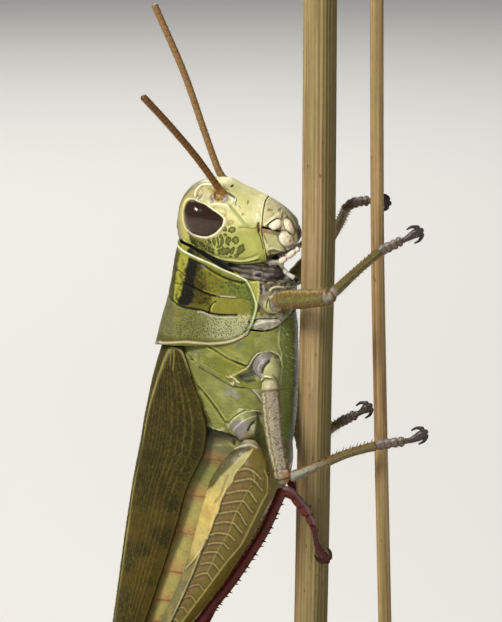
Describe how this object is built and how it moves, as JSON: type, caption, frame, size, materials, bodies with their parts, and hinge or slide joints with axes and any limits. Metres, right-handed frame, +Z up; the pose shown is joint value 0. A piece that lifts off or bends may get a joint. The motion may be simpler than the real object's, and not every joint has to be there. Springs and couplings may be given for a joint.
{
  "type": "two-striped grasshopper display model",
  "caption": "Life-size still model of a green two-striped grasshopper climbing dry cut grass stems held over a round display base.",
  "frame": {"origin": "centre of the stand base's underside", "axes": "+Z up and towards the animal's head, +X from its back towards its underside and the stems, +Y to its left side"},
  "size_m": [0.038, 0.038, 0.0635],
  "materials": {
    "head_shell": "waxy yellow-green cuticle with dark green net marks",
    "eye": "glossy purple-brown",
    "mouth_shell": "waxy cream cuticle",
    "membrane": "soft grey-lavender skin",
    "antenna": "ringed orange-brown",
    "palp": "white with grey bases",
    "pronotum_shell": "olive green with black grooves and a pale side stripe, pitted behind",
    "thorax_shell": "waxy green-yellow plates with dark seams",
    "abdomen_shell": "grey-green and yellow rings with orange bands",
    "wing": "dark olive, veined, with a pale stripe",
    "walking_leg": "olive brown to pale beige",
    "hind_femur": "olive brown chevrons with a yellow upper stripe",
    "hind_tibia": "crimson with black spines",
    "grass": "dry ribbed straw",
    "stand_wood": "dark satin turned wood",
    "stand_metal": "brushed rod"
  },
  "bodies": {
    "root": {"abdomen": "abdomen_shell", "antenna_left": "antenna", "antenna_right": "antenna", "clypeus": "mouth_shell", "eye_left": "eye", "eye_right": "eye", "fore_left_coxa": "walking_leg", "fore_left_femur": "walking_leg", "fore_left_tarsus": "walking_leg", "fore_left_tibia": "walking_leg", "fore_right_coxa": "walking_leg", "fore_right_femur": "walking_leg", "fore_right_tarsus": "walking_leg", "fore_right_tibia": "walking_leg", "head": "head_shell", "hind_left_coxa": "thorax_shell", "hind_left_femur": "hind_femur", "hind_left_tarsus": "hind_tibia", "hind_left_tibia": "hind_tibia", "hind_right_coxa": "thorax_shell", "hind_right_femur": "hind_femur", "hind_right_tarsus": "hind_tibia", "hind_right_tibia": "hind_tibia", "labial_palp_left": "palp", "labial_palp_right": "palp", "labrum": "mouth_shell", "mandible_left": "mouth_shell", "mandible_right": "mouth_shell", "maxillary_palp_left": "palp", "maxillary_palp_right": "palp", "mesothorax": "thorax_shell", "metathorax": "thorax_shell", "middle_left_coxa": "walking_leg", "middle_left_femur": "walking_leg", "middle_left_tarsus": "walking_leg", "middle_left_tibia": "walking_leg", "middle_right_coxa": "walking_leg", "middle_right_femur": "walking_leg", "middle_right_tarsus": "walking_leg", "middle_right_tibia": "walking_leg", "neck": "membrane", "ovipositor_lower": "abdomen_shell", "ovipositor_upper": "abdomen_shell", "pronotum": "pronotum_shell", "prothorax": "thorax_shell", "stalk": "grass", "stand_base": "stand_wood", "stand_rod_stalk": "stand_metal", "stand_rod_thin": "stand_metal", "tegmen_left": "wing", "tegmen_right": "wing", "thin_stem": "grass"}
  },
  "joints": []
}
